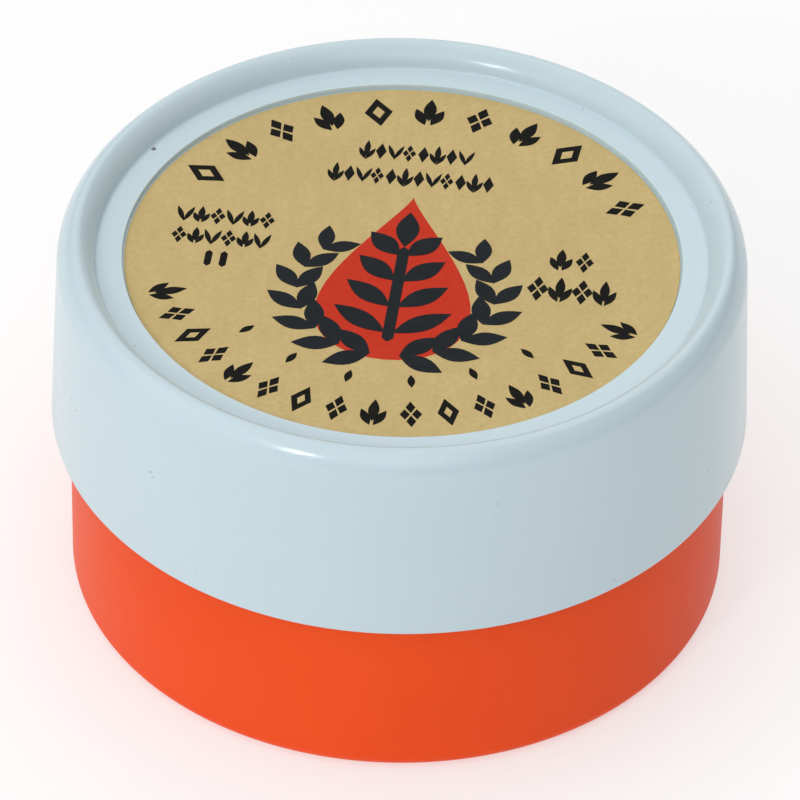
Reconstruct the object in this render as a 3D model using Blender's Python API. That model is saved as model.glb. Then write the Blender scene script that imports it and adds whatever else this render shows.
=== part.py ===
"""A round two-part moulded box that holds a cake of violin rosin in its cloth.

The base is a cup, and the lid slides over the upper part of the cup's wall. In the cup lie a felt pad and the
cake of rosin, glued to the middle of a round cloth that gathers up around it. A felt liner sits under the
lid's top, and a round paper label lies in a shallow seat above it, inside the lid's raised rim. Everything is
turned about the Z axis. The origin is the centre of the foot ring.
"""

import math

import bmesh
import bpy

MM = 0.001

# Driving dimensions, in millimetres.
LID_TOP_R = 22.7  # the lid's outside, just under the round of its rim
LID_EDGE_R = 23.2  # the lid's outside at its open edge, wider by the mould's draft
BOX_H = 27.15  # the foot ring to the crown of the lid's rim
SEAM_Z = 12.85  # the lid's open edge, above the foot
WALL = 1.1  # the moulded walls of both halves
SLIP = 0.3  # the gap between the lid and the cup that it slides on
TOUCH = 0.3  # the gap kept between two pieces that rest flat on each other

# The lid's rim is a large round on the outside that tightens over the crown, and a straight slope inside.
SHOULDER_ROUND = 2.45
SHOULDER_TURN = 50
CROWN_ROUND = 0.6
CROWN_TURN = 147
RIM_H = 1.5
RIM_FOOT_R = 20.15
EDGE_ROUND = 0.4
INNER_CORNER = 0.6
FLOOR_Z = BOX_H - RIM_H

# The label's seat is a shallow round step in the lid's floor.
SEAT_R = 18.4
SEAT_DEPTH = 0.45
SEAT_Z = FLOOR_Z - SEAT_DEPTH
LABEL_R = 18.27
LABEL_H = 0.12
LABEL_GAP = 0.1
LABEL_Z = SEAT_Z + LABEL_GAP
CEILING_Z = SEAT_Z - WALL

# The cup.
CUP_R = 21.97
CUP_TOP_R = 21.5  # narrower than below, by the mould's draft
CUP_BORE_R = CUP_R - WALL - 0.1
CUP_CORNER = 1.1
CUP_INNER_CORNER = 1.5
CUP_RIM_Z = CEILING_Z - 0.4
CUP_FLOOR_Z = 1.5
FOOT_INNER_R = 18.8
FOOT_RECESS = 0.6
FOOT_BEVEL = 0.4
GATE_R = 1.2
GATE_H = 0.25

# What is inside. Each piece lies on the one before it.
PAD_R, PAD_H = 19.1, 1.2
CLOTH_R, CLOTH_BORE_R = 20.3, 17.9
CLOTH_FLOOR, CLOTH_TOP_Z, CLOTH_CORNER = 0.8, 22.2, 0.8
GLUE_R, GLUE_H = 14.0, 0.2
CAKE_FOOT_R, CAKE_TOP_R, CAKE_H = 17.5, 17.1, 13.0
CAKE_FOOT_ROUND, CAKE_TOP_ROUND = 0.5, 1.0
LINER_R, LINER_H = 19.8, 1.2

PAD_Z = CUP_FLOOR_Z + TOUCH
CLOTH_Z = PAD_Z + PAD_H + TOUCH
GLUE_Z = CLOTH_Z + CLOTH_FLOOR + TOUCH
CAKE_Z = GLUE_Z + GLUE_H + TOUCH
LINER_Z = CEILING_Z - TOUCH - LINER_H

SHELL_SIDES = 80
INNER_SIDES = 60
ARC_STEPS = 4


def arc(r, z, across, up, start, end, steps=ARC_STEPS):
    """Points on an ellipse about (r, z), from start to end in degrees: 0 is outwards and 90 is up."""
    turns = [math.radians(start + (end - start) * i / steps) for i in range(steps + 1)]
    return [(r + across * math.cos(t), z + up * math.sin(t)) for t in turns]


def plastic(name, colour, roughness):
    """A dielectric Principled material."""
    material = bpy.data.materials.new(name)
    material.use_nodes = True
    shader = material.node_tree.nodes["Principled BSDF"]
    shader.inputs["Base Color"].default_value = (*colour, 1.0)
    shader.inputs["Roughness"].default_value = roughness
    shader.inputs["Metallic"].default_value = 0.0
    return material


def turned(name, profile, material, sides, parent):
    """A solid of revolution about Z. Its profile starts and ends on the axis."""
    mesh = bpy.data.meshes.new(name)
    form = bmesh.new()
    points = [form.verts.new((r * MM, 0.0, z * MM)) for r, z in profile]
    edges = [form.edges.new(pair) for pair in zip(points, points[1:])]
    bmesh.ops.spin(
        form, geom=points + edges, cent=(0, 0, 0), axis=(0, 0, 1), angle=math.tau, steps=sides, use_merge=True
    )
    bmesh.ops.remove_doubles(form, verts=form.verts, dist=1e-7)
    bmesh.ops.recalc_face_normals(form, faces=form.faces)
    form.to_mesh(mesh)
    form.free()
    mesh.shade_smooth()
    mesh.set_sharp_from_angle(angle=math.radians(35))
    mesh.materials.append(material)
    solid = bpy.data.objects.new(name, mesh)
    bpy.context.scene.collection.objects.link(solid)
    solid.parent = parent
    return solid


def disc(radius, low, height):
    """The profile of a plain disc."""
    return [(0, low), (radius, low), (radius, low + height), (0, low + height)]


def cup_profile():
    """The base: a foot ring, a round lower corner, a straight wall and a rounded rim."""
    underside = [
        (0, FOOT_RECESS - GATE_H),
        (GATE_R, FOOT_RECESS - GATE_H),
        (GATE_R, FOOT_RECESS),
        (FOOT_INNER_R - FOOT_BEVEL, FOOT_RECESS),
        (FOOT_INNER_R, 0),
    ]
    corner = arc(CUP_R - CUP_CORNER, CUP_CORNER, CUP_CORNER, CUP_CORNER, -90, 0)
    shoulder = [(CUP_R, SEAM_Z - SLIP)]
    half = (CUP_TOP_R - CUP_BORE_R) / 2
    rim = arc(CUP_BORE_R + half, CUP_RIM_Z - half, half, half, 0, 180)
    round_in = CUP_INNER_CORNER
    inner = arc(CUP_BORE_R - round_in, CUP_FLOOR_Z + round_in, round_in, round_in, 0, -90)
    return underside + corner + shoulder + rim + inner + [(0, CUP_FLOOR_Z)]


def lid_profile():
    """The lid: a label seat in its floor, a raised round rim, and a skirt that slips on the cup."""
    turn = math.radians(SHOULDER_TURN)
    step = SHOULDER_ROUND - CROWN_ROUND
    shoulder_r = LID_TOP_R - SHOULDER_ROUND
    crown_r = shoulder_r + step * math.cos(turn)
    crown_z = BOX_H - CROWN_ROUND
    shoulder_z = crown_z - step * math.sin(turn)
    seat = [(0, SEAT_Z), (SEAT_R, SEAT_Z), (SEAT_R, FLOOR_Z), (RIM_FOOT_R, FLOOR_Z)]
    crown = arc(crown_r, crown_z, CROWN_ROUND, CROWN_ROUND, CROWN_TURN, SHOULDER_TURN, 5)
    shoulder = arc(shoulder_r, shoulder_z, SHOULDER_ROUND, SHOULDER_ROUND, SHOULDER_TURN, 0)
    edge = arc(LID_EDGE_R - EDGE_ROUND, SEAM_Z + EDGE_ROUND, EDGE_ROUND, EDGE_ROUND, 0, -90, 2)
    mouth_r = CUP_R + SLIP
    mouth = [(mouth_r + EDGE_ROUND, SEAM_Z), (mouth_r, SEAM_Z + EDGE_ROUND)]
    bore_r = CUP_TOP_R + SLIP
    ceiling = arc(bore_r - INNER_CORNER, CEILING_Z - INNER_CORNER, INNER_CORNER, INNER_CORNER, 0, 90, 2)
    return seat + crown + shoulder[1:] + edge + mouth + ceiling + [(0, CEILING_Z)]


def cloth_profile():
    """The plain outer form of the gathered cloth: a soft cup round the cake."""
    corner = arc(CLOTH_R - CLOTH_CORNER, CLOTH_Z + CLOTH_CORNER, CLOTH_CORNER, CLOTH_CORNER, -90, 0, 2)
    middle_r = (CLOTH_R + CLOTH_BORE_R) / 2
    half = (CLOTH_R - CLOTH_BORE_R) / 2
    top = arc(middle_r, CLOTH_TOP_Z - half, half, half, 0, 180)
    floor_z = CLOTH_Z + CLOTH_FLOOR
    return [(0, CLOTH_Z)] + corner + top + [(CLOTH_BORE_R, floor_z), (0, floor_z)]


def cake_profile():
    """The cake: a cast disc that tapers upwards, with a small round below and a larger one above."""
    foot_round = CAKE_FOOT_ROUND
    foot = arc(CAKE_FOOT_R - foot_round, CAKE_Z + foot_round, foot_round, foot_round, -90, 0, 2)
    top_z = CAKE_Z + CAKE_H
    top = arc(CAKE_TOP_R - CAKE_TOP_ROUND, top_z - CAKE_TOP_ROUND, CAKE_TOP_ROUND, CAKE_TOP_ROUND, 0, 90)
    return [(0, CAKE_Z)] + foot + top + [(0, top_z)]


def body(name, parent=None):
    """An empty on the Z axis that carries the pieces which move together."""
    empty = bpy.data.objects.new(name, None)
    bpy.context.scene.collection.objects.link(empty)
    empty.parent = parent
    return empty


def main():
    for obj in list(bpy.data.objects):
        bpy.data.objects.remove(obj)

    orange = plastic("orange_plastic", (0.86, 0.13, 0.025), 0.38)
    pale = plastic("pale_plastic", (0.62, 0.75, 0.80), 0.3)
    paper = plastic("gold_paper", (0.56, 0.42, 0.17), 0.55)
    amber = plastic("rosin", (0.55, 0.17, 0.02), 0.15)
    velvet = plastic("blue_cloth", (0.03, 0.05, 0.14), 0.95)
    felt = plastic("grey_felt", (0.35, 0.35, 0.34), 0.95)
    glue = plastic("glue", (0.75, 0.66, 0.42), 0.4)

    base = body("base_body")
    seat = body("seat_body", base)
    cake = body("cake_body", seat)
    liner = body("liner_body", cake)
    lid = body("lid_body", liner)

    turned("base_cup", cup_profile(), orange, SHELL_SIDES, base)
    turned("seat_pad", disc(PAD_R, PAD_Z, PAD_H), felt, INNER_SIDES, seat)
    turned("cloth_wrap", cloth_profile(), velvet, INNER_SIDES, cake)
    turned("glue_disc", disc(GLUE_R, GLUE_Z, GLUE_H), glue, INNER_SIDES, cake)
    turned("rosin_cake", cake_profile(), amber, INNER_SIDES, cake)
    turned("lid_liner", disc(LINER_R, LINER_Z, LINER_H), felt, INNER_SIDES, liner)
    turned("lid_shell", lid_profile(), pale, SHELL_SIDES, lid)
    turned("lid_label", disc(LABEL_R, LABEL_Z, LABEL_H), paper, SHELL_SIDES, lid)


main()
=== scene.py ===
"""The looks of the boxed rosin cake: its mouldings, label, cake, cloth and felts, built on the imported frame.

Lengths in the profiles are in millimetres, and become metres in the meshes. The label's art is laid out in
shares of the label's radius, and reads upright from -Y.
"""

import math

import bmesh
import bpy
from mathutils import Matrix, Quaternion, Vector, noise


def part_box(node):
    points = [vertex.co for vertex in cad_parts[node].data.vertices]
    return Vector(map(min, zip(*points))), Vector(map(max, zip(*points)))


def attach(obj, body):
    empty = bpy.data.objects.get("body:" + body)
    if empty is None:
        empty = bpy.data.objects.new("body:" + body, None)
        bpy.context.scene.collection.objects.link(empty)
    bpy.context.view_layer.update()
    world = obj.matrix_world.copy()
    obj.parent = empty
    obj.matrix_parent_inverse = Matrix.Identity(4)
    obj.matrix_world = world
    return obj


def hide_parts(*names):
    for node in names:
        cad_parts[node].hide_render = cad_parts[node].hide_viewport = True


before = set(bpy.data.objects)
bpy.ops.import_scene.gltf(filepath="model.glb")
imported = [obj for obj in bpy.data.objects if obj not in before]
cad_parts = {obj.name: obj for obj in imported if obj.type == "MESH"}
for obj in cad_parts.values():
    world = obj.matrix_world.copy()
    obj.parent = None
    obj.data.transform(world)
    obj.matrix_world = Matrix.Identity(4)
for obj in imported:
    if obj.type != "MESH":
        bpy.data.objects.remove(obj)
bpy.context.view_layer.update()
MM = 0.001

# ---------------------------------------------------------------- sizes taken from the frame, in millimetres


def span(node):
    """A turned node's radius, lowest and highest point, in millimetres."""
    low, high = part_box(node)
    return high.x / MM, low.z / MM, high.z / MM


LID_R, SEAM_Z, BOX_H = span("lid_shell")
CUP_R, _, CUP_TOP = span("base_cup")
LABEL_R, _, _ = span("lid_label")
PAD_R, PAD_LOW, PAD_TOP = span("seat_pad")
_, CLOTH_LOW, _ = span("cloth_wrap")
GLUE_R, GLUE_LOW, GLUE_TOP = span("glue_disc")
CAKE_R, CAKE_LOW, CAKE_TOP = span("rosin_cake")
LINER_R, LINER_LOW, LINER_TOP = span("lid_liner")

SIDES = 288

# The mouldings, as the frame has them.
WALL = 1.1
SLIP = 0.3  # the gap between the lid and the cup

# The lid's rim is a wide round outside that tightens over the crown, and a convex slope inside.
LID_TOP_R = LID_R - 0.5  # the lid tapers upwards by the mould's draft
RIM_H = 1.5
RIM_FOOT_R = 20.15
SHOULDER_ROUND = 2.45
SHOULDER_TURN = 50
CROWN_ROUND = 0.6
SLOPE_ROUND = 2.0
CREASE_ROUND = 0.25
EDGE_ROUND = 0.4
MOUTH_ROUND = 0.25
CEILING_ROUND = 0.6
LID_FLOOR = BOX_H - RIM_H
SEAT_R = 18.4
SEAT_Z = LID_FLOOR - 0.45
SEAT_CORNER = 0.04
SEAT_LIP = 0.05
CEILING_Z = SEAT_Z - WALL

# The cup stands on a foot ring, with the moulding gate's mark in the middle of its underside.
CUP_TOP_R = CUP_R - 0.47
CUP_BORE_R = CUP_R - 1.2
CUP_CORNER = 1.1
CUP_INNER_CORNER = 1.5
CUP_FLOOR = 1.5
FOOT_R = 18.85
FOOT_RECESS = 0.6
FOOT_ROUND = 0.25
GATE_R = 1.1
GATE_Z = 0.35

# The label lies on its seat, a little below the lid's floor.
LABEL_THICK = 0.1
LABEL_BED = SEAT_Z + 0.01
LABEL_FACE = LABEL_BED + LABEL_THICK
INK_LOW = LABEL_FACE - 0.02


# ---------------------------------------------------------------- shapes


def arc(r, z, across, up, start, end, steps=8):
    """Points on an ellipse about (r, z), from start to end in degrees: 0 is outwards and 90 is up."""
    turns = [math.radians(start + (end - start) * i / steps) for i in range(steps + 1)]
    return [(r + across * math.cos(t), z + up * math.sin(t)) for t in turns]


def turned(name, profile, sides=SIDES, sharp=30):
    """A closed solid of revolution about Z from a profile in millimetres that starts and ends on the axis."""
    mesh = bpy.data.meshes.new(name)
    form = bmesh.new()
    points = [form.verts.new((r * MM, 0.0, z * MM)) for r, z in profile]
    edges = [form.edges.new(pair) for pair in zip(points, points[1:])]
    bmesh.ops.spin(
        form, geom=points + edges, cent=(0, 0, 0), axis=(0, 0, 1), angle=math.tau, steps=sides, use_merge=True
    )
    bmesh.ops.remove_doubles(form, verts=form.verts, dist=1e-7)
    bmesh.ops.recalc_face_normals(form, faces=form.faces)
    form.to_mesh(mesh)
    form.free()
    mesh.shade_smooth()
    mesh.set_sharp_from_angle(angle=math.radians(sharp))
    solid = bpy.data.objects.new(name, mesh)
    bpy.context.scene.collection.objects.link(solid)
    return solid


def finished(piece, material, body, slot, *nodes):
    """Gives a piece its material and body, and hides the CAD nodes that it stands for. The slot is not used.
    """
    piece.data.materials.clear()
    piece.data.materials.append(material)
    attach(piece, body)
    if nodes:
        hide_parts(*nodes)
    return piece


# ---------------------------------------------------------------- material nodes


class Nodes:
    """A short way to write a material's node tree."""

    def __init__(self, name):
        self.material = bpy.data.materials.new(name)
        self.material.use_nodes = True
        self.tree = self.material.node_tree
        self.shader = self.tree.nodes["Principled BSDF"]
        self.place = self.add("ShaderNodeTexCoord").outputs["Object"]

    def add(self, kind, **settings):
        node = self.tree.nodes.new(kind)
        for key, value in settings.items():
            setattr(node, key, value)
        return node

    def feed(self, socket, value):
        if isinstance(value, bpy.types.NodeSocket):
            self.tree.links.new(value, socket)
        else:
            socket.default_value = value

    def set(self, **values):
        """Sets the shader's inputs, named with _ for a space."""
        for key, value in values.items():
            self.feed(self.shader.inputs[key.replace("_", " ")], value)

    def stretched(self, scale, turn=(0, 0, 0)):
        node = self.add("ShaderNodeMapping")
        self.feed(node.inputs["Vector"], self.place)
        node.inputs["Scale"].default_value = scale
        node.inputs["Rotation"].default_value = turn
        return node.outputs["Vector"]

    def noise(self, scale, detail=3.0, rough=0.5, distort=0.0, vector=None):
        node = self.add("ShaderNodeTexNoise")
        self.feed(node.inputs["Vector"], vector or self.place)
        node.inputs["Scale"].default_value = scale
        node.inputs["Detail"].default_value = detail
        node.inputs["Roughness"].default_value = rough
        node.inputs["Distortion"].default_value = distort
        return node.outputs["Fac"]

    def cells(self, scale, vector=None, feature="F1", output="Distance", random=1.0):
        node = self.add("ShaderNodeTexVoronoi", feature=feature)
        self.feed(node.inputs["Vector"], vector or self.place)
        node.inputs["Scale"].default_value = scale
        node.inputs["Randomness"].default_value = random
        return node.outputs[output]

    def ramp(self, value, low, high, to_low=0.0, to_high=1.0):
        """Maps low..high onto to_low..to_high, clamped."""
        node = self.add("ShaderNodeMapRange")
        self.feed(node.inputs["Value"], value)
        for socket, number in zip(list(node.inputs)[1:5], (low, high, to_low, to_high)):
            socket.default_value = number
        return node.outputs["Result"]

    def sum(self, a, b, how="ADD"):
        node = self.add("ShaderNodeMath", operation=how)
        self.feed(node.inputs[0], a)
        self.feed(node.inputs[1], b)
        return node.outputs[0]

    def mix(self, share, a, b):
        node = self.add("ShaderNodeMix", data_type="RGBA")
        self.feed(node.inputs[0], share)
        for socket, colour in ((node.inputs[6], a), (node.inputs[7], b)):
            self.feed(socket, colour if isinstance(colour, bpy.types.NodeSocket) else (*colour, 1.0))
        return node.outputs[2]

    def axis(self, letter):
        node = self.add("ShaderNodeSeparateXYZ")
        self.feed(node.inputs[0], self.place)
        return node.outputs[letter]

    def fleck(self, place, size):
        """A ragged dark spot at a place in millimetres, 1 inside it and 0 outside."""
        node = self.add("ShaderNodeVectorMath", operation="DISTANCE")
        self.feed(node.inputs[0], self.place)
        node.inputs[1].default_value = [MM * c for c in place]
        wander = self.ramp(self.noise(2600, 2), 0.3, 0.7, 0.0, 0.6 * size * MM)
        ragged = self.sum(node.outputs["Value"], wander)
        return self.ramp(ragged, 0.7 * size * MM, size * MM, 1.0, 0.0)

    def bump(self, height, depth, strength=1.0):
        """A bump of that depth in metres."""
        node = self.add("ShaderNodeBump")
        node.inputs["Strength"].default_value = strength
        node.inputs["Distance"].default_value = depth
        self.feed(node.inputs["Height"], height)
        self.set(Normal=node.outputs["Normal"])
        return node


def moulded(name, colour, deep, rough, index, scatter, grime, marks=()):
    """A gloss moulded plastic: faint mottling, fine dirt specks and an almost flat skin.

    marks are dark flecks, each as a place in millimetres and its size in millimetres.
    """
    n = Nodes(name)
    mottle = n.ramp(n.noise(70, 4, 0.6), 0.3, 0.7)
    base = n.mix(mottle, colour, deep)
    specks = n.ramp(n.cells(760), 0.04, 0.08, 1.0, 0.0)
    sparse = n.ramp(n.noise(330, 1), 0.58, 0.66)
    dirt = n.sum(n.sum(specks, sparse, "MULTIPLY"), 0.4, "MULTIPLY")
    for place, size in marks:
        dirt = n.sum(dirt, n.fleck(place, size), "MAXIMUM")
    base = n.mix(dirt, base, grime)
    wear = n.ramp(n.noise(90, 4), 0.3, 0.7, rough - 0.02, rough + 0.03)
    n.set(Base_Color=base, Roughness=wear, IOR=index)
    if scatter:
        n.set(Subsurface_Weight=scatter, Subsurface_Radius=(0.6, 0.8, 1.0), Subsurface_Scale=0.0006)
    n.bump(n.sum(n.noise(160, 3, 0.5), n.sum(n.noise(3000, 2), 0.12, "MULTIPLY")), 0.000012, 0.3)
    return n.material


def label_paper():
    """Gold printed paper: a fine uneven screen, long soft fibres, and a paler cut edge."""
    n = Nodes("gold_label_paper")
    screen = n.ramp(n.noise(2600, 2, 0.6), 0.3, 0.7)
    tooth = n.ramp(n.noise(900, 4, 0.6, 0.3, n.stretched((1.0, 0.35, 1.0))), 0.32, 0.68)
    drift = n.ramp(n.noise(90, 3, 0.5), 0.3, 0.7)
    gold = n.mix(drift, (0.56, 0.411, 0.163), (0.515, 0.38, 0.146))
    gold = n.mix(n.sum(tooth, 0.5, "MULTIPLY"), gold, (0.65, 0.50, 0.225))
    gold = n.mix(n.sum(screen, 0.45, "MULTIPLY"), gold, (0.44, 0.315, 0.11))
    normal = n.add("ShaderNodeNewGeometry").outputs["Normal"]
    split = n.add("ShaderNodeSeparateXYZ")
    n.feed(split.inputs[0], normal)
    edge = n.ramp(split.outputs["Z"], 0.3, 0.6, 1.0, 0.0)
    gold = n.mix(edge, gold, (0.72, 0.66, 0.5))
    n.set(Base_Color=gold, Roughness=n.ramp(tooth, 0, 1, 0.5, 0.62), IOR=1.45)
    n.bump(n.sum(tooth, screen), 0.000012, 0.5)
    return n.material


def ink(name, colour, worn):
    """Printed ink: nearly flat, a little uneven where the paper's tooth shows."""
    n = Nodes(name)
    tooth = n.ramp(n.noise(1500, 3, 0.6), 0.45, 0.75, 0.0, 0.35)
    gloss = n.ramp(n.noise(800, 2), 0.3, 0.7, 0.42, 0.56)
    n.set(Base_Color=n.mix(tooth, colour, worn), Roughness=gloss, IOR=1.15)
    n.bump(n.noise(2400, 2), 0.000006, 0.5)
    return n.material


def cast_rosin():
    """Clear amber resin: glassy inside, with flow streaks, bubbles and a dusty worn top."""
    n = Nodes("cast_amber_rosin")
    streaks = n.ramp(n.noise(70, 5, 0.6, 1.2, n.stretched((1.0, 1.0, 0.45))), 0.3, 0.7)
    colour = n.mix(streaks, (0.86, 0.30, 0.018), (0.66, 0.16, 0.006))
    bubbles = n.ramp(n.cells(420), 0.08, 0.14, 1.0, 0.0)
    colour = n.mix(n.sum(bubbles, 0.4, "MULTIPLY"), colour, (0.92, 0.50, 0.12))
    height = n.axis("Z")
    top = n.ramp(height, (CAKE_TOP - 0.5) * MM, (CAKE_TOP - 0.05) * MM)
    swirl = n.ramp(n.noise(110, 5, 0.65, 0.6), 0.54, 0.74)
    strokes = n.ramp(n.noise(330, 3, 0.5, 0.0, n.stretched((1.0, 0.06, 1.0), (0, 0, 0.25))), 0.52, 0.75)
    dust = n.sum(n.sum(top, n.sum(swirl, strokes, "MAXIMUM"), "MULTIPLY"), 0.4, "MULTIPLY")
    colour = n.mix(dust, colour, (0.96, 0.72, 0.36))
    rough = n.sum(n.ramp(n.noise(200, 3), 0.3, 0.7, 0.06, 0.13), n.sum(dust, 0.6, "MULTIPLY"))
    n.set(Base_Color=colour, Roughness=rough, IOR=1.54)
    n.set(Transmission_Weight=n.sum(0.30, n.sum(dust, 0.7, "MULTIPLY"), "SUBTRACT"))
    n.set(Subsurface_Weight=0.6, Subsurface_Radius=(1.0, 0.42, 0.10), Subsurface_Scale=0.004)
    n.bump(n.sum(n.noise(140, 3, 0.5, 0.5), n.sum(strokes, 0.25, "MULTIPLY")), 0.00004, 0.4)
    return n.material


def velvet():
    """Short-pile dark blue cotton velvet: a clumped pile, flecks of lint and a soft sheen."""
    n = Nodes("blue_velvet")
    pile = n.ramp(n.noise(3200, 3, 0.7), 0.3, 0.7)
    nap = n.ramp(n.noise(420, 4, 0.6, 0.8), 0.3, 0.7)
    colour = n.mix(nap, (0.012, 0.022, 0.085), (0.03, 0.05, 0.17))
    colour = n.mix(n.sum(pile, 0.5, "MULTIPLY"), colour, (0.055, 0.085, 0.24))
    lint = n.ramp(n.cells(900), 0.04, 0.07, 1.0, 0.0)
    lint = n.sum(lint, n.ramp(n.noise(160, 2), 0.55, 0.65), "MULTIPLY")
    colour = n.mix(n.sum(lint, 0.8, "MULTIPLY"), colour, (0.75, 0.62, 0.42))
    n.set(Base_Color=colour, Roughness=0.92)
    n.set(Sheen_Weight=0.8, Sheen_Roughness=0.35, Sheen_Tint=(0.35, 0.45, 0.9, 1.0))
    n.bump(n.sum(pile, n.sum(nap, 1.5, "MULTIPLY")), 0.00012, 0.7)
    return n.material


def pressed_felt():
    """Grey wool felt: tangled fibres in two directions, with darker and lighter hairs."""
    n = Nodes("pressed_grey_felt")
    hairs = n.ramp(n.noise(1500, 4, 0.7, 2.0, n.stretched((1.0, 0.25, 1.0), (0, 0, 0.6))), 0.35, 0.65)
    across = n.ramp(n.noise(1500, 4, 0.7, 2.0, n.stretched((0.25, 1.0, 1.0), (0, 0, 0.3))), 0.35, 0.65)
    clumps = n.ramp(n.noise(240, 3, 0.6), 0.3, 0.7)
    colour = n.mix(clumps, (0.30, 0.30, 0.29), (0.40, 0.40, 0.385))
    colour = n.mix(n.sum(hairs, 0.6, "MULTIPLY"), colour, (0.55, 0.55, 0.53))
    colour = n.mix(n.sum(across, 0.35, "MULTIPLY"), colour, (0.2, 0.2, 0.2))
    n.set(Base_Color=colour, Roughness=0.95, Sheen_Weight=0.35, Sheen_Roughness=0.6)
    n.bump(n.sum(hairs, across), 0.00015, 0.7)
    return n.material


def dried_glue():
    """Cream contact adhesive, slightly glossy and ropy."""
    n = Nodes("dried_cream_glue")
    strings = n.ramp(n.noise(260, 4, 0.6, 1.5), 0.35, 0.65)
    n.set(Base_Color=n.mix(strings, (0.72, 0.60, 0.34), (0.55, 0.42, 0.2)))
    n.set(Roughness=n.ramp(strings, 0, 1, 0.25, 0.5))
    n.bump(strings, 0.0001, 0.5)
    return n.material


# ---------------------------------------------------------------- the lid


def inner_slope(crown_r, crown_z):
    """The rim's inside: a small hollow round at the crease, then a convex slope that runs into the crown."""
    reach = SLOPE_ROUND - CROWN_ROUND
    foot_r, foot_z = RIM_FOOT_R - crown_r, LID_FLOOR - crown_z
    away = math.hypot(foot_r, foot_z)
    bend = math.acos((SLOPE_ROUND**2 - away**2 - reach**2) / (2 * reach * away))
    meet = math.atan2(foot_z, foot_r) % math.tau - bend
    slope_r = crown_r - reach * math.cos(meet)
    slope_z = crown_z - reach * math.sin(meet)
    crease_z = LID_FLOOR + CREASE_ROUND
    drop = crease_z - slope_z
    span_r = math.sqrt((SLOPE_ROUND + CREASE_ROUND) ** 2 - drop**2)
    touch = math.degrees(math.atan2(drop, -span_r))
    meet = math.degrees(meet)
    crease = arc(slope_r - span_r, crease_z, CREASE_ROUND, CREASE_ROUND, -90, touch - 180)
    slope = arc(slope_r, slope_z, SLOPE_ROUND, SLOPE_ROUND, touch, meet, 10)
    crown = arc(crown_r, crown_z, CROWN_ROUND, CROWN_ROUND, meet, SHOULDER_TURN, 14)
    return crease + slope[1:] + crown[1:]


def lid_profile():
    """From the middle of the label's seat over the rim, down the skirt, round its edge and up the bore."""
    turn = math.radians(SHOULDER_TURN)
    step = SHOULDER_ROUND - CROWN_ROUND
    shoulder_r = LID_TOP_R - SHOULDER_ROUND
    crown_z = BOX_H - CROWN_ROUND
    seat = [(0, SEAT_Z), (SEAT_R - SEAT_CORNER, SEAT_Z), (SEAT_R, SEAT_Z + SEAT_CORNER)]
    lip = arc(SEAT_R + SEAT_LIP, LID_FLOOR - SEAT_LIP, SEAT_LIP, SEAT_LIP, 180, 90, 4)
    rim = inner_slope(shoulder_r + step * math.cos(turn), crown_z)
    shoulder_z = crown_z - step * math.sin(turn)
    shoulder = arc(shoulder_r, shoulder_z, SHOULDER_ROUND, SHOULDER_ROUND, SHOULDER_TURN, 0, 18)
    edge = arc(LID_R - EDGE_ROUND, SEAM_Z + EDGE_ROUND, EDGE_ROUND, EDGE_ROUND, 0, -90, 8)
    mouth_r = CUP_R + SLIP
    mouth = arc(mouth_r + MOUTH_ROUND, SEAM_Z + MOUTH_ROUND, MOUTH_ROUND, MOUTH_ROUND, 270, 180, 4)
    inner_r = CUP_TOP_R + SLIP - CEILING_ROUND
    ceiling = arc(inner_r, CEILING_Z - CEILING_ROUND, CEILING_ROUND, CEILING_ROUND, 0, 90, 5)
    return seat + lip + rim + shoulder[1:] + edge + mouth + ceiling + [(0, CEILING_Z)]


def on_lid(azimuth, r, z):
    """A place on the lid, in millimetres, with the azimuth in degrees from +X."""
    turn = math.radians(azimuth)
    return (r * math.cos(turn), r * math.sin(turn), z)


def build_lid():
    marks = (
        (on_lid(147.5, 19.9, LID_FLOOR), 0.30),
        (on_lid(201.0, 22.95, 19.6), 0.12),
        (on_lid(203.0, 22.95, 19.3), 0.09),
        (on_lid(226.0, 22.9, 20.6), 0.10),
        (on_lid(226.6, 22.9, 20.3), 0.10),
        (on_lid(302.0, 22.95, 20.4), 0.08),
        (on_lid(133.0, 21.0, LID_FLOOR + 0.9), 0.10),
    )
    colours = (0.55, 0.675, 0.72), (0.53, 0.655, 0.705)
    pale = moulded("pale_moulded_plastic", *colours, 0.2, 1.5, 0.1, (0.1, 0.1, 0.1), marks)
    lid = turned("lid_moulding", lid_profile())
    finished(lid, pale, "lid", "lid_plastic", "lid_shell")


# ---------------------------------------------------------------- the label and its art
#
# An outline is a list of points. An ornament is a list of outlines, each with the layer that it prints on.


def moved(outline, x=0.0, y=0.0, turn=0.0):
    """An outline turned by degrees and then shifted."""
    c, s = math.cos(math.radians(turn)), math.sin(math.radians(turn))
    return [(x + c * u - s * v, y + s * u + c * v) for u, v in outline]


def lozenge(w, h):
    return [(w / 2, 0), (0, h / 2), (-w / 2, 0), (0, -h / 2)]


def leaf(w, h, steps=8):
    """A pointed oval, h long and w wide."""
    side = [(w / 2 * math.sin(math.pi * i / steps), h * (i / steps - 0.5)) for i in range(1, steps)]
    back = [(-x, y) for x, y in reversed(side)]
    return [(0, -h / 2)] + side + [(0, h / 2)] + back


def blade(w, h):
    """A bar with pointed ends."""
    x, y = w / 2, h / 2
    return [(0, -y), (x, x - y), (x, y - x), (0, y), (-x, y - x), (-x, x - y)]


def tear(w, h, steps=48):
    """A drop with its point up, w wide at its widest and h high."""
    turns = [math.tau * i / steps for i in range(steps)]
    widest = 0.703  # of sin(t) * sin(t / 2) ** 1.5
    return [(-w / 2 / widest * math.sin(t) * abs(math.sin(t / 2)) ** 1.5, h / 2 * math.cos(t)) for t in turns]


def solid(outline, layer=0):
    return [(outline, layer)]


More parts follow.
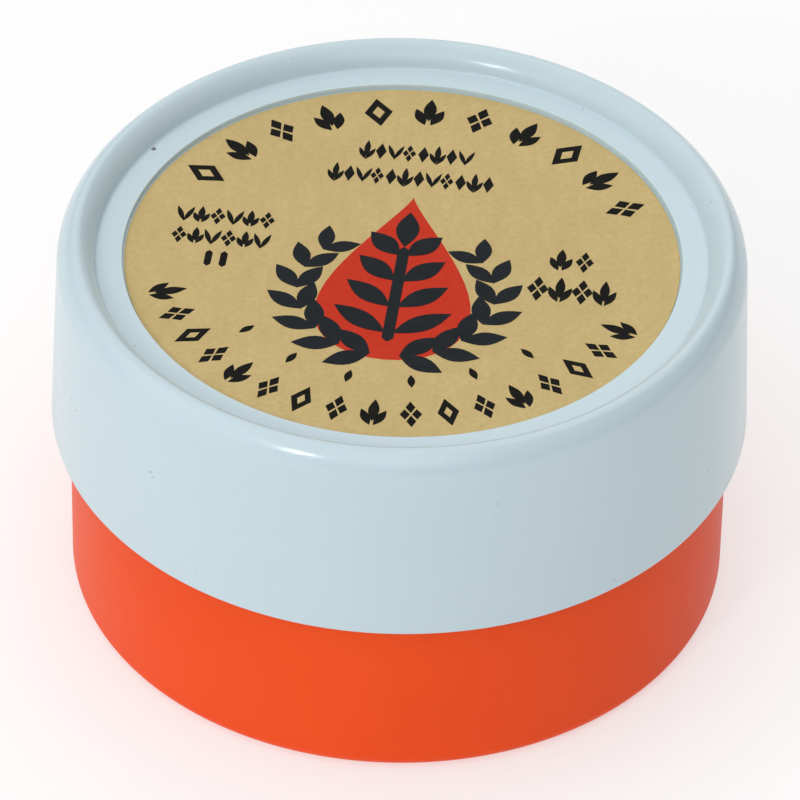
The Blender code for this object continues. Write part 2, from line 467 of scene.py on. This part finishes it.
def hollow_lozenge(w, h, thick):
    """A lozenge frame as four bars with mitred ends."""
    outer, inner = lozenge(w, h), lozenge(w - 2 * thick, h - 2 * thick * h / w)
    return [([outer[i - 1], outer[i], inner[i], inner[i - 1]], 0) for i in range(4)]


def bud(w, h):
    """A pointed bud between two side leaves."""
    sides = [(moved(leaf(0.36 * w, 0.62 * h), 0.27 * w * side, -0.16 * h, -24 * side), 0) for side in (-1, 1)]
    return sides + [(moved(leaf(0.42 * w, 0.8 * h), 0, 0.1 * h), 1)]


def sprout(w, h):
    """Two leaves that part upwards from one point."""
    lean = 20
    return [(moved(leaf(0.36 * w, 0.98 * h), 0.27 * w * side, 0, -lean * side), 0) for side in (-1, 1)]


def knot(w, h):
    """Four lozenges round a point."""
    upright = [(moved(lozenge(0.44 * w, 0.46 * h), 0, 0.27 * h * side), 0) for side in (-1, 1)]
    return upright + [(moved(lozenge(0.46 * w, 0.4 * h), 0.27 * w * side), 0) for side in (-1, 1)]


class Print:
    """Flat ink shapes on the label, gathered into one mesh of thin closed prisms."""

    ART_TURN = -6
    INK_STEP = 0.003  # how much higher each layer of ink stands, in millimetres

    def __init__(self, name, first_layer):
        self.name = name
        self.first_layer = first_layer
        self.form = bmesh.new()

    def stamp(self, ornament, x=0.0, y=0.0, turn=0.0):
        """Prints an ornament at (x, y), turned by degrees. All lengths are shares of the label's radius."""
        for outline, layer in ornament:
            placed = moved(moved(outline, x, y, turn), turn=self.ART_TURN)
            flat = [(LABEL_R * u * MM, LABEL_R * v * MM) for u, v in placed]
            high = LABEL_FACE + self.INK_STEP * (1 + self.first_layer + layer)
            under = [self.form.verts.new((u, v, INK_LOW * MM)) for u, v in flat]
            over = [self.form.verts.new((u, v, high * MM)) for u, v in flat]
            self.form.faces.new(over)
            self.form.faces.new(list(reversed(under)))
            for i in range(len(flat)):
                j = (i + 1) % len(flat)
                self.form.faces.new((under[i], under[j], over[j], over[i]))

    def around(self, ornament, radius, angle, turn=0.0):
        """Prints an ornament on a circle, standing outwards, at degrees clockwise from the top."""
        t = math.radians(angle)
        self.stamp(ornament, radius * math.sin(t), radius * math.cos(t), turn - angle)

    def row(self, ornaments, count, pitch, x, y):
        """Prints a level row that goes through the ornaments in turn."""
        for i in range(count):
            self.stamp(ornaments[i % len(ornaments)], x + pitch * (i - (count - 1) / 2), y)

    def done(self, material):
        bmesh.ops.recalc_face_normals(self.form, faces=self.form.faces)
        mesh = bpy.data.meshes.new(self.name)
        self.form.to_mesh(mesh)
        self.form.free()
        piece = bpy.data.objects.new(self.name, mesh)
        bpy.context.scene.collection.objects.link(piece)
        return finished(piece, material, "lid", "label_paper")


def borders(black):
    """Bold ornaments round the top and the bottom, and a line of small leaves inside the lower ones."""
    upper = (hollow_lozenge(0.105, 0.165, 0.03), bud(0.115, 0.165), knot(0.10, 0.155), bud(0.115, 0.165))
    for i in range(11):
        black.around(upper[i % 4], 0.865, -62.5 + 12.5 * i)
    lower = (bud(0.095, 0.15), knot(0.08, 0.14), hollow_lozenge(0.078, 0.15, 0.024), knot(0.08, 0.14))
    for i in range(17):
        black.around(lower[i % 4], 0.865, 180 - 70 + 8.75 * i, 180)
    for i in range(6):
        black.around(solid(leaf(0.028, 0.07)), 0.685, 180 - 47 + 18.8 * i)


def side_rows(black):
    """Short rows of small ornaments above the emblem and on both sides of it."""
    gem = solid(lozenge(0.04, 0.095))
    small = (bud(0.056, 0.12), gem, sprout(0.05, 0.095), knot(0.05, 0.1), gem)
    black.row(small, 8, 0.052, -0.02, 0.615)
    black.row(small, 12, 0.051, -0.02, 0.47)
    black.row((sprout(0.056, 0.095), bud(0.062, 0.1), knot(0.056, 0.098)), 6, 0.06, -0.66, 0.155)
    black.row((knot(0.056, 0.098), bud(0.062, 0.1), sprout(0.056, 0.095)), 6, 0.06, -0.665, 0.033)
    black.row((solid(blade(0.026, 0.092)),), 2, 0.055, -0.665, -0.088)
    black.row((bud(0.085, 0.13), knot(0.066, 0.12)), 2, 0.085, 0.61, 0.07)
    black.row((knot(0.078, 0.14), bud(0.085, 0.15)), 4, 0.08, 0.62, -0.10)


DROP_MIDDLE = -0.105


def sprig(dark):
    """A twig with pairs of leaves, which stands in the drop."""
    dark.stamp(solid(leaf(0.085, 0.20), 6), 0.0, 0.17)
    dark.stamp(solid(blade(0.042, 0.54), 5), 0.0, -0.20)
    for i in range(4):
        level = i / 3
        long = 0.24 - 0.07 * level
        lean = math.radians(56 - 12 * level)
        for side in (-1, 1):
            x = side * (0.012 + long / 2 * math.sin(lean))
            y = -0.42 + 0.44 * level + long / 2 * math.cos(lean)
            dark.stamp(solid(leaf(0.085, long), 4), x, y, -side * math.degrees(lean))


def wreath(dark):
    """Two leafy branches that rise from the bottom round both sides of the drop."""
    radius, middle = 0.355, -0.19
    for side in (-1, 1):
        for i in range(7):
            angle = 180 - side * (9 + 19.5 * i)
            t = math.radians(angle)
            x, y = radius * math.sin(t), middle + radius * math.cos(t)
            size = 1.0 - 0.035 * i
            for lean, layer in ((34, 0), (-34, 1)):
                turn = 90 * side - angle + lean
                reach = 0.085 * size
                out, up = -math.sin(math.radians(turn)), math.cos(math.radians(turn))
                oval = solid(leaf(0.078 * size, 0.18 * size), layer + 2 * (i % 2))
                dark.stamp(oval, x + reach * out, y + reach * up, turn)


def build_label():
    paper = turned("label_paper_disc", [
        (0, LABEL_BED),
        (LABEL_R, LABEL_BED),
        (LABEL_R, LABEL_FACE - 0.02),
        (LABEL_R - 0.03, LABEL_FACE),
        (0, LABEL_FACE),
    ])
    finished(paper, label_paper(), "lid", "label_paper", "lid_label")
    red = Print("label_print_red", 0)
    red.stamp(solid(tear(0.56, 0.93)), 0.0, DROP_MIDDLE)
    red.done(ink("red_ink", (0.54, 0.032, 0.012), (0.58, 0.055, 0.022)))
    dark = Print("label_print_charcoal", 2)
    sprig(dark)
    wreath(dark)
    dark.done(ink("charcoal_ink", (0.012, 0.015, 0.018), (0.022, 0.026, 0.03)))
    black = Print("label_print_black", 0)
    borders(black)
    side_rows(black)
    black.done(ink("black_ink", (0.004, 0.004, 0.003), (0.02, 0.016, 0.008)))


# ---------------------------------------------------------------- the base


def cup_profile():
    """From the underside's middle over the foot ring, up the wall, over the rim and down the bore."""
    gate = [(0, GATE_Z), (GATE_R, GATE_Z), (GATE_R + 0.1, GATE_Z + 0.07), (GATE_R + 0.15, FOOT_RECESS)]
    recess_r = FOOT_R - 0.55
    ring = arc(recess_r, FOOT_RECESS - FOOT_ROUND, FOOT_ROUND, FOOT_ROUND, 90, 0, 4)
    foot = [(FOOT_R - 0.15, 0.05), (FOOT_R, 0)]
    corner = arc(CUP_R - CUP_CORNER, CUP_CORNER, CUP_CORNER, CUP_CORNER, -90, 0, 14)
    half = (CUP_TOP_R - CUP_BORE_R) / 2
    rim = arc(CUP_BORE_R + half, CUP_TOP - half, half, half, 0, 180, 12)
    round_in = CUP_INNER_CORNER
    inner = arc(CUP_BORE_R - round_in, CUP_FLOOR + round_in, round_in, round_in, 0, -90, 8)
    return gate + ring + foot + corner + [(CUP_R, SEAM_Z - SLIP)] + rim + inner + [(0, CUP_FLOOR)]


def build_base():
    colours = (0.88, 0.083, 0.012), (0.83, 0.073, 0.010)
    orange = moulded("orange_moulded_plastic", *colours, 0.42, 1.2, 0.0, (0.1, 0.03, 0.02))
    cup = turned("base_moulding", cup_profile())
    finished(cup, orange, "base", "base_plastic", "base_cup")


# ---------------------------------------------------------------- the cake and its packing

CAKE_TAPER = 0.4
CAKE_FOOT_ROUND = 0.5
CAKE_LIP_ROUND = 0.8
CAKE_DISH = 0.45
CLOTH_FLAT_R = 34.0
CLOTH_THICK = 0.45
CLOTH_WALL_R = 18.6  # where the gathered cloth stands, between the cake and the cup
CLOTH_BEND = 1.1
PLEATS = 26
TEETH = 90  # of the pinked edge
FELT_ROUND = 0.35


def reshape(piece, move):
    """Moves each vertex, given and returned in millimetres."""
    for vertex in piece.data.vertices:
        vertex.co = Vector(move(vertex.co / MM)) * MM
    piece.data.update()


def cake_profile():
    """A cast puck: tapered sides, soft corners, a lip where the melt climbed the mould, and a dished top."""
    top_r = CAKE_R - CAKE_TAPER
    low, high = CAKE_FOOT_ROUND, CAKE_LIP_ROUND
    foot = arc(CAKE_R - low, CAKE_LOW + low, low, low, -90, 0, 6)
    lip = arc(top_r - high, CAKE_TOP - high, high, high, 0, 110, 12)
    dish_r, dish_z = top_r - 1.1, CAKE_TOP - 0.1
    dips = [math.sin(math.pi / 2 * i / 24) for i in range(1, 24)]
    dish = [(dish_r - dish_r * (i + 1) / 24, dish_z - CAKE_DISH * dip) for i, dip in enumerate(dips)]
    side_z = CAKE_LOW + low
    side_h = CAKE_TOP - high - side_z
    sides = [(CAKE_R - CAKE_TAPER * i / 12, side_z + side_h * i / 12) for i in range(1, 12)]
    base = [(CAKE_R * i / 10 * 0.96, CAKE_LOW) for i in range(1, 10)]
    return [(0, CAKE_LOW)] + base + foot + sides + lip + dish + [(0, dish_z - CAKE_DISH)]


def cake_move(p):
    """Casting ripples, and small chips along the upper edge."""
    r = math.hypot(p.x, p.y)
    ripple = 0.05 * noise.noise(Vector((p.x, p.y, p.z)) * 0.35) * min(1.0, r / 4)
    near_top = max(0.0, 1 - (CAKE_TOP - p.z) / 1.6) * max(0.0, 1 - abs(r - (CAKE_R - 0.9)) / 1.2)
    chip = max(0.0, noise.noise(Vector((p.x, p.y, 3.0)) * 0.55) - 0.32) * 2.6 * near_top
    out = 1 + (ripple - 0.6 * chip) / max(r, 1.0)
    return (p.x * out, p.y * out, p.z - 0.7 * chip - (0.04 * max(0.0, ripple) if p.z > CAKE_TOP - 1 else 0))


def build_cake():
    cake = turned("cast_rosin_cake", cake_profile(), 192, 50)
    reshape(cake, cake_move)
    finished(cake, cast_rosin(), "cake", "rosin", "rosin_cake")

    def spread_out(p):
        r = math.hypot(p.x, p.y)
        grow = 1 + 0.06 * noise.noise(Vector((p.x, p.y, 0)) * 0.22) * (r > 5) - 0.04
        return (p.x * grow, p.y * grow, p.z)

    rings = [(GLUE_R * i / 10, GLUE_LOW) for i in range(11)]
    edge = arc(GLUE_R, (GLUE_LOW + GLUE_TOP) / 2, 0.1, (GLUE_TOP - GLUE_LOW) / 2, -90, 90, 6)[1:-1]
    lid_of_it = [(GLUE_R * i / 10, GLUE_TOP) for i in range(10, -1, -1)]
    glue = turned("cake_glue", rings + edge + lid_of_it, 128, 60)
    reshape(glue, spread_out)
    finished(glue, dried_glue(), "cake", "glue", "glue_disc")


def cloth_point(s, theta):
    """Where the flat cloth's point (s, theta) ends up once it is gathered: its radius, angle and height.

    The pleats deepen as the cloth rises, and wander so that no two are alike.
    """
    floor_z = CLOTH_LOW + CLOTH_THICK
    past = s - CLOTH_WALL_R + CLOTH_BEND  # the way beyond the start of the bend
    if past <= 0:
        return s, theta, floor_z
    bend_length = CLOTH_BEND * math.pi / 2
    if past <= bend_length:
        t = past / CLOTH_BEND
        r = CLOTH_WALL_R - CLOTH_BEND + CLOTH_BEND * math.sin(t)
        z = floor_z + CLOTH_BEND * (1 - math.cos(t))
    else:
        r = CLOTH_WALL_R
        z = floor_z + CLOTH_BEND + (past - bend_length)
    rise = min(1.0, past / 6.0)
    rise = rise * rise * (3 - 2 * rise)
    spot = Vector((math.cos(theta), math.sin(theta), 0.0))
    phase = PLEATS * theta + 2.6 * noise.noise(spot * 2.3) + 1.2 * noise.noise(spot * 6.0 + Vector((0, 0, 5)))
    deep = 0.85 + 0.25 * noise.noise(spot * 4.0 + Vector((3, 1, 0)))
    r += rise * (0.5 + deep * math.sin(phase))
    theta += rise * 0.018 * math.sin(2 * phase)
    return r, theta, z


def build_cloth():
    """The round cloth, as a sheet of its own thickness with a pinked edge, gathered up round the cake."""
    mesh = bpy.data.meshes.new("gathered_cloth")
    form = bmesh.new()
    sides, rings = 720, 70
    grid = []
    middle = form.verts.new((0, 0, (CLOTH_LOW + CLOTH_THICK) * MM))
    for k in range(1, rings + 1):
        ring = []
        for i in range(sides):
            theta = math.tau * i / sides
            tooth = abs((TEETH * i / sides) % 1.0 - 0.5) * 2
            s = CLOTH_FLAT_R * k / rings
            if k == rings:
                s -= 1.0 * (1 - tooth)
            elif k == rings - 1:
                s -= 0.5 * (1 - tooth)
            r, t, z = cloth_point(s, theta)
            ring.append(form.verts.new((r * math.cos(t) * MM, r * math.sin(t) * MM, z * MM)))
        grid.append(ring)
    for i in range(sides):
        form.faces.new((middle, grid[0][i], grid[0][(i + 1) % sides]))
    for inner, outer in zip(grid, grid[1:]):
        for i in range(sides):
            j = (i + 1) % sides
            form.faces.new((inner[i], outer[i], outer[j], inner[j]))
    bmesh.ops.recalc_face_normals(form, faces=form.faces)
    form.to_mesh(mesh)
    form.free()
    mesh.shade_smooth()
    cloth = bpy.data.objects.new("gathered_cloth", mesh)
    bpy.context.scene.collection.objects.link(cloth)
    thick = cloth.modifiers.new("thickness", "SOLIDIFY")
    thick.thickness = CLOTH_THICK * MM
    thick.offset = 0
    finished(cloth, velvet(), "cake", "cloth", "cloth_wrap")


def felt_disc(name, radius, low, high, body, node, seed):
    """A die-cut felt disc: a slightly domed cut edge and a surface that is never quite flat."""
    middle, half = (low + high) / 2, (high - low) / 2
    under = [(radius * 0.98 * i / 30, low) for i in range(30)]
    edge = arc(radius - FELT_ROUND, middle, FELT_ROUND, half, -90, 90, 10)
    over = [(radius * 0.98 * i / 30, high) for i in range(29, -1, -1)]
    disc = turned(name, under + edge + over, 240, 60)

    def fuzz(p):
        spot = Vector((p.x, p.y, p.z + seed))
        lift = 0.05 * noise.noise(spot * 0.8) + 0.03 * noise.noise(spot * 3.0)
        side = 1 + 0.004 * noise.noise(spot * 1.7)
        inwards = -1 if p.z > middle else 1
        return (p.x * side, p.y * side, p.z + inwards * abs(lift))

    reshape(disc, fuzz)
    finished(disc, FELT, body, "felt", node)


# ---------------------------------------------------------------- the studio


def build_floor():
    mesh = bpy.data.meshes.new("studio_floor")
    form = bmesh.new()
    bmesh.ops.create_grid(form, x_segments=1, y_segments=1, size=3.0)
    form.to_mesh(mesh)
    form.free()
    floor = bpy.data.objects.new("studio_floor", mesh)
    floor.location.z = -0.02 * MM
    bpy.context.scene.collection.objects.link(floor)
    n = Nodes("pale_floor")
    n.set(Base_Color=(0.50, 0.50, 0.50, 1.0), Roughness=0.9, Specular_IOR_Level=0.0)
    n.set(Emission_Color=(1.0, 1.0, 1.0, 1.0), Emission_Strength=0.50)
    mesh.materials.append(n.material)


def softbox(name, direction, distance, size, share):
    """A square light that faces the object, and lights a surface square to it by a share of full white."""
    lamp = bpy.data.lights.new(name, "AREA")
    lamp.size = size
    lamp.energy = share * (math.pi * distance) ** 2
    piece = bpy.data.objects.new(name, lamp)
    bpy.context.scene.collection.objects.link(piece)
    towards = Vector(direction).normalized()
    piece.location = Vector((0, 0, 0.014)) + distance * towards
    piece.rotation_mode = "QUATERNION"
    piece.rotation_quaternion = (-towards).to_track_quat("-Z", "Y")
    piece.visible_camera = False
    return piece


def build_lights():
    """A white dome that brightens upwards and to the left, and soft lights round the object."""
    world = bpy.data.worlds.new("studio")
    bpy.context.scene.world = world
    world.use_nodes = True
    tree = world.node_tree
    way = tree.nodes.new("ShaderNodeTexCoord")
    split = tree.nodes.new("ShaderNodeSeparateXYZ")
    climb = tree.nodes.new("ShaderNodeMapRange")
    tree.links.new(way.outputs["Generated"], split.inputs[0])
    tree.links.new(split.outputs["Z"], climb.inputs["Value"])
    climb.inputs["To Min"].default_value = 0.15
    climb.inputs["To Max"].default_value = 1.15
    lean = tree.nodes.new("ShaderNodeMapRange")
    tree.links.new(split.outputs["X"], lean.inputs["Value"])
    lean.inputs["From Min"].default_value = -1.0
    lean.inputs["To Min"].default_value = 1.0
    lean.inputs["To Max"].default_value = 0.4
    both = tree.nodes.new("ShaderNodeMath")
    both.operation = "MULTIPLY"
    tree.links.new(climb.outputs["Result"], both.inputs[0])
    tree.links.new(lean.outputs["Result"], both.inputs[1])
    back = tree.nodes["Background"]
    back.inputs["Color"].default_value = (1.0, 1.0, 1.0, 1.0)
    tree.links.new(both.outputs[0], back.inputs["Strength"])
    softbox("key_softbox", (-0.45, -0.72, 0.52), 0.6, 0.07, 0.13)
    softbox("front_softbox", (0.05, -0.70, 0.71), 0.6, 0.4, 0.13)
    softbox("left_softbox", (-0.90, -0.30, 0.42), 0.7, 0.6, 0.15)
    softbox("fill_softbox", (-0.40, -0.85, 0.35), 0.7, 0.8, 0.10)
    softbox("top_softbox", (0.10, 0.20, 0.97), 0.6, 0.6, 0.21)
    softbox("back_softbox", (0.1, 0.93, 0.36), 0.7, 0.6, 0.17)
    bpy.context.scene.view_settings.view_transform = "Standard"


def build_camera():
    """A long lens from the front, 40 degrees up, rolled by just over a degree."""
    unit = LID_R * MM
    distance = 20.03 * unit
    elevation = math.radians(40.05)
    target = Vector((0.0018 * unit, 0, 0.570 * unit))
    data = bpy.data.cameras.new("camera")
    data.sensor_width = 36.0
    data.lens = 313.05
    data.clip_start, data.clip_end = 0.01, 20
    camera = bpy.data.objects.new("camera", data)
    bpy.context.scene.collection.objects.link(camera)
    back = Vector((0, -math.cos(elevation), math.sin(elevation)))
    camera.location = target + back * distance
    roll = Quaternion((0, 0, 1), math.radians(1.18))
    camera.rotation_mode = "QUATERNION"
    camera.rotation_quaternion = (-back).to_track_quat("-Z", "Y") @ roll
    bpy.context.scene.camera = camera


build_camera()
build_lights()
build_floor()
FELT = pressed_felt()
build_base()
felt_disc("seat_felt", PAD_R, PAD_LOW, PAD_TOP, "seat", "seat_pad", 0.0)
build_cake()
build_cloth()
felt_disc("liner_felt", LINER_R, LINER_LOW, LINER_TOP, "liner", "lid_liner", 40.0)
build_lid()
build_label()
